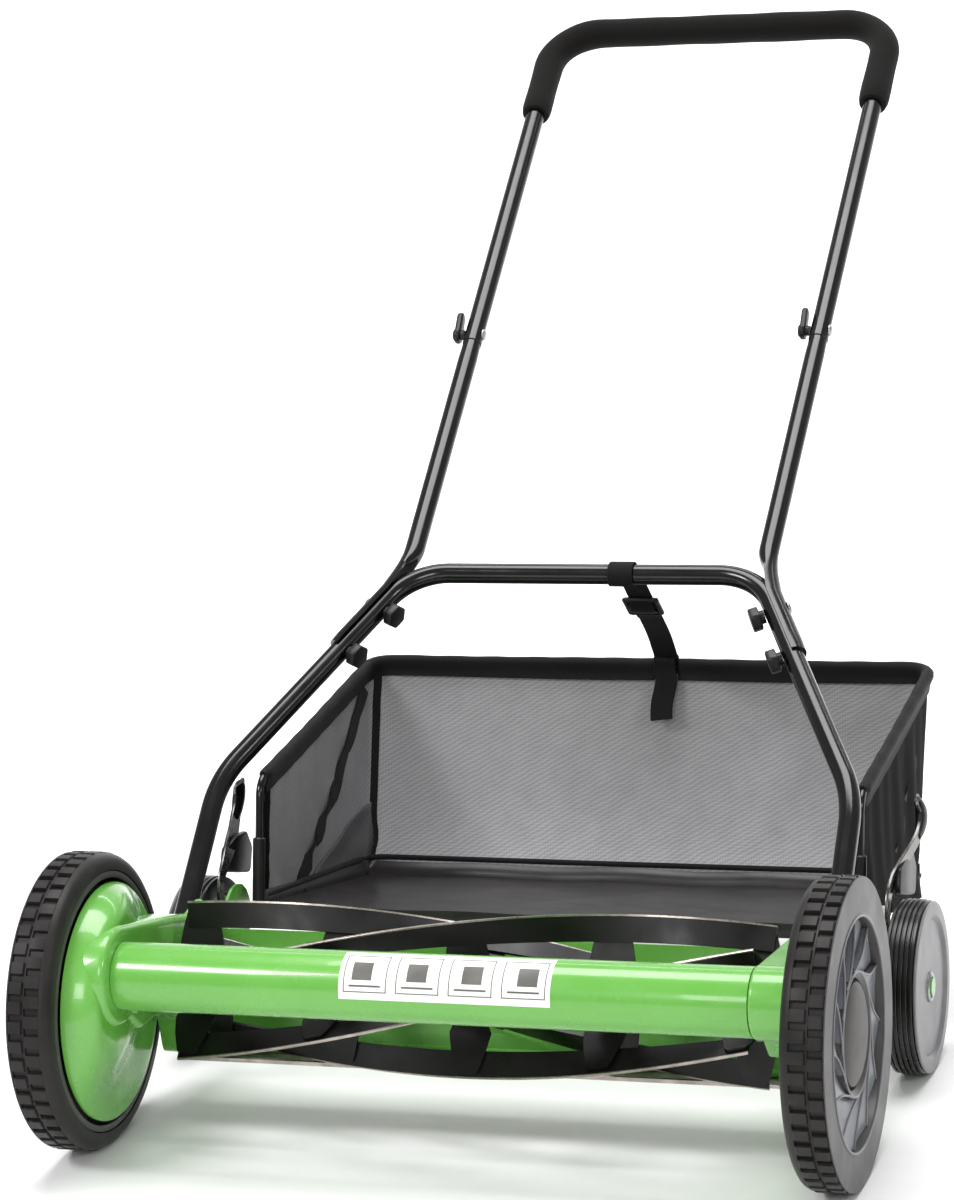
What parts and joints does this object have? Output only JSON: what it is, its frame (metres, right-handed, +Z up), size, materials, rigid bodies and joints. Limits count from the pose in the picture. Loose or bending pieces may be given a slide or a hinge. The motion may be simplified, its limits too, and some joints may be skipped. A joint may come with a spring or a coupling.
{
  "type": "reel mower",
  "caption": "Push reel mower: geared wheels spin a helical blade reel against a bed knife; fixed-angle tube handle, height levers and a mesh grass catcher on a strap.",
  "frame": {"origin": "on the ground, under the middle of the mower's bounding box", "axes": "+Z up, +Y towards the handle and the user, +X to the right of a person who faces the mower's front, wheel axles along X"},
  "size_m": [0.695, 1.1888, 0.8693],
  "materials": {
    "green_paint": "gloss powder coat, bright green",
    "black_paint": "gloss black powder coat",
    "reel_paint": "black paint, cutting edges ground bare",
    "bare_steel": "zinc plated or ground steel",
    "lever_steel": "black spring steel with moulded black pads",
    "wire_steel": "black coated wire",
    "gear_steel": "sintered steel, oiled",
    "bush_bronze": "sintered bronze",
    "wheel_plastic": "moulded mid grey plastic",
    "rear_hub": "moulded pale grey plastic",
    "tyre_rubber": "matte black rubber",
    "grip_foam": "closed cell foam, matte black",
    "knob_plastic": "moulded black plastic",
    "catcher_fabric": "grey open mesh in a black woven hem",
    "tray_plastic": "dark grey sheet plastic, semi gloss",
    "webbing": "black woven webbing"
  },
  "bodies": {
    "chassis": {"front_tube": "green_paint", "side_plate_left": "green_paint", "side_plate_right": "green_paint", "wheel_cover_left": "green_paint", "wheel_cover_right": "green_paint", "cutter_bar": "green_paint", "bed_knife": "bare_steel", "wheel_axle_left": "bare_steel", "wheel_axle_right": "bare_steel", "reel_bearing_left": "bush_bronze", "reel_bearing_right": "bush_bronze", "adjuster_quadrant_left": "green_paint", "adjuster_quadrant_right": "green_paint", "handle_pivot_bolt_left": "bare_steel", "handle_pivot_bolt_right": "bare_steel"},
    "reel": {"reel_shaft": "bare_steel", "reel_blade_1": "reel_paint", "reel_blade_2": "reel_paint", "reel_blade_3": "reel_paint", "reel_blade_4": "reel_paint", "reel_blade_5": "reel_paint", "reel_spider_1": "reel_paint", "reel_spider_2": "reel_paint", "reel_spider_3": "reel_paint", "reel_spider_4": "reel_paint", "reel_spider_5": "reel_paint"},
    "handle": {"lower_handle": "black_paint", "handle_strut_left": "black_paint", "handle_strut_right": "black_paint", "upper_handle": "black_paint", "foam_grip": "grip_foam"},
    "strap": {"bag_strap": "webbing", "strap_buckle": "knob_plastic"},
    "catcher": {"catcher_bag": "catcher_fabric", "catcher_tray": "tray_plastic", "catcher_frame": "wire_steel", "strap_tail": "webbing"},
    "wheel_left": {"front_wheel_left": "wheel_plastic", "front_tyre_left": "tyre_rubber", "hub_cap_left": "wheel_plastic"},
    "pinion_left": {"pinion_left": "gear_steel"},
    "arm_left": {"rear_arm_left": "green_paint"},
    "lever_left": {"height_lever_left": "lever_steel"},
    "rear_wheel_left": {"rear_wheel_left": "rear_hub", "rear_tyre_left": "tyre_rubber"},
    "wing_knob_left": {"wing_knob_left": "knob_plastic"},
    "wheel_right": {"front_wheel_right": "wheel_plastic", "front_tyre_right": "tyre_rubber", "hub_cap_right": "wheel_plastic"},
    "pinion_right": {"pinion_right": "gear_steel"},
    "arm_right": {"rear_arm_right": "green_paint"},
    "lever_right": {"height_lever_right": "lever_steel"},
    "rear_wheel_right": {"rear_wheel_right": "rear_hub", "rear_tyre_right": "tyre_rubber"},
    "wing_knob_right": {"wing_knob_right": "knob_plastic"},
    "clamp_knob_left_upper": {"clamp_knob_left_upper": "knob_plastic"},
    "clamp_knob_left_lower": {"clamp_knob_left_lower": "knob_plastic"},
    "clamp_knob_right_upper": {"clamp_knob_right_upper": "knob_plastic"},
    "clamp_knob_right_lower": {"clamp_knob_right_lower": "knob_plastic"}
  },
  "joints": [
    {"name": "handle_tilt", "type": "hinge", "parent": "chassis", "child": "handle", "pos_m": [0, -0.3425, 0.14], "axis": [1, 0, 0], "range_deg": [0, 25]},
    {"name": "catcher_swing", "type": "hinge", "parent": "chassis", "child": "catcher", "pos_m": [0, -0.18, 0.112], "axis": [1, 0, 0], "range_deg": [-1, 29]},
    {"name": "strap_swing", "type": "hinge", "parent": "handle", "child": "strap", "pos_m": [0.0375, -0.0215, 0.4051], "axis": [1, 0, 0], "range_deg": [-16, 1]},
    {"name": "wheel_left_spin", "type": "hinge", "parent": "chassis", "child": "wheel_left", "pos_m": [-0.326, -0.4675, 0.127], "axis": [1, 0, 0], "continuous": true},
    {"name": "wheel_right_spin", "type": "hinge", "parent": "chassis", "child": "wheel_right", "pos_m": [0.326, -0.4675, 0.127], "axis": [1, 0, 0], "continuous": true},
    {"name": "pinion_left_spin", "type": "hinge", "parent": "chassis", "child": "pinion_left", "pos_m": [-0.322, -0.4075, 0.127], "axis": [1, 0, 0], "continuous": true},
    {"name": "pinion_right_spin", "type": "hinge", "parent": "chassis", "child": "pinion_right", "pos_m": [0.322, -0.4075, 0.127], "axis": [1, 0, 0], "continuous": true},
    {"name": "reel_spin", "type": "hinge", "parent": "chassis", "child": "reel", "pos_m": [0, -0.4075, 0.127], "axis": [1, 0, 0], "continuous": true},
    {"name": "height_left", "type": "hinge", "parent": "chassis", "child": "arm_left", "pos_m": [-0.3035, -0.2975, 0.1], "axis": [1, 0, 0], "range_deg": [-9, 9]},
    {"name": "lever_left_flex", "type": "hinge", "parent": "arm_left", "child": "lever_left", "pos_m": [-0.3108, -0.1975, 0.106], "axis": [0, -1, 0], "range_deg": [0, 2.5], "stiffness_Nm_per_rad": 12},
    {"name": "rear_wheel_left_spin", "type": "hinge", "parent": "arm_left", "child": "rear_wheel_left", "pos_m": [-0.3325, -0.1875, 0.0762], "axis": [1, 0, 0], "continuous": true},
    {"name": "height_right", "type": "hinge", "parent": "chassis", "child": "arm_right", "pos_m": [0.3035, -0.2975, 0.1], "axis": [1, 0, 0], "range_deg": [-9, 9]},
    {"name": "lever_right_flex", "type": "hinge", "parent": "arm_right", "child": "lever_right", "pos_m": [0.3108, -0.1975, 0.106], "axis": [0, 1, 0], "range_deg": [0, 2.5], "stiffness_Nm_per_rad": 12},
    {"name": "rear_wheel_right_spin", "type": "hinge", "parent": "arm_right", "child": "rear_wheel_right", "pos_m": [0.3325, -0.1875, 0.0762], "axis": [1, 0, 0], "continuous": true},
    {"name": "wing_knob_left_turn", "type": "hinge", "parent": "handle", "child": "wing_knob_left", "pos_m": [-0.18355, 0.22647, 0.59051], "axis": [1, 0, 0], "continuous": true},
    {"name": "wing_knob_right_turn", "type": "hinge", "parent": "handle", "child": "wing_knob_right", "pos_m": [0.16355, 0.22647, 0.59051], "axis": [1, 0, 0], "continuous": true},
    {"name": "clamp_knob_left_upper_turn", "type": "hinge", "parent": "handle", "child": "clamp_knob_left_upper", "pos_m": [-0.17619, -0.0626, 0.37528], "axis": [0.8953, -0.3568, -0.2668], "continuous": true},
    {"name": "clamp_knob_left_lower_turn", "type": "hinge", "parent": "handle", "child": "clamp_knob_left_lower", "pos_m": [-0.20069, -0.10252, 0.34645], "axis": [0.8953, -0.3568, -0.2668], "continuous": true},
    {"name": "clamp_knob_right_upper_turn", "type": "hinge", "parent": "handle", "child": "clamp_knob_right_upper", "pos_m": [0.17619, -0.0626, 0.37528], "axis": [-0.8953, -0.3568, -0.2668], "continuous": true},
    {"name": "clamp_knob_right_lower_turn", "type": "hinge", "parent": "handle", "child": "clamp_knob_right_lower", "pos_m": [0.20069, -0.10252, 0.34645], "axis": [-0.8953, -0.3568, -0.2668], "continuous": true}
  ],
  "couplings": [
    {"joint": "catcher_swing", "follows": "handle_tilt", "ratio": 1.135},
    {"joint": "strap_swing", "follows": "handle_tilt", "ratio": -0.585},
    {"joint": "pinion_left_spin", "follows": "wheel_left_spin", "ratio": 5},
    {"joint": "pinion_right_spin", "follows": "wheel_right_spin", "ratio": 5},
    {"joint": "reel_spin", "follows": "wheel_left_spin", "ratio": 5}
  ]
}
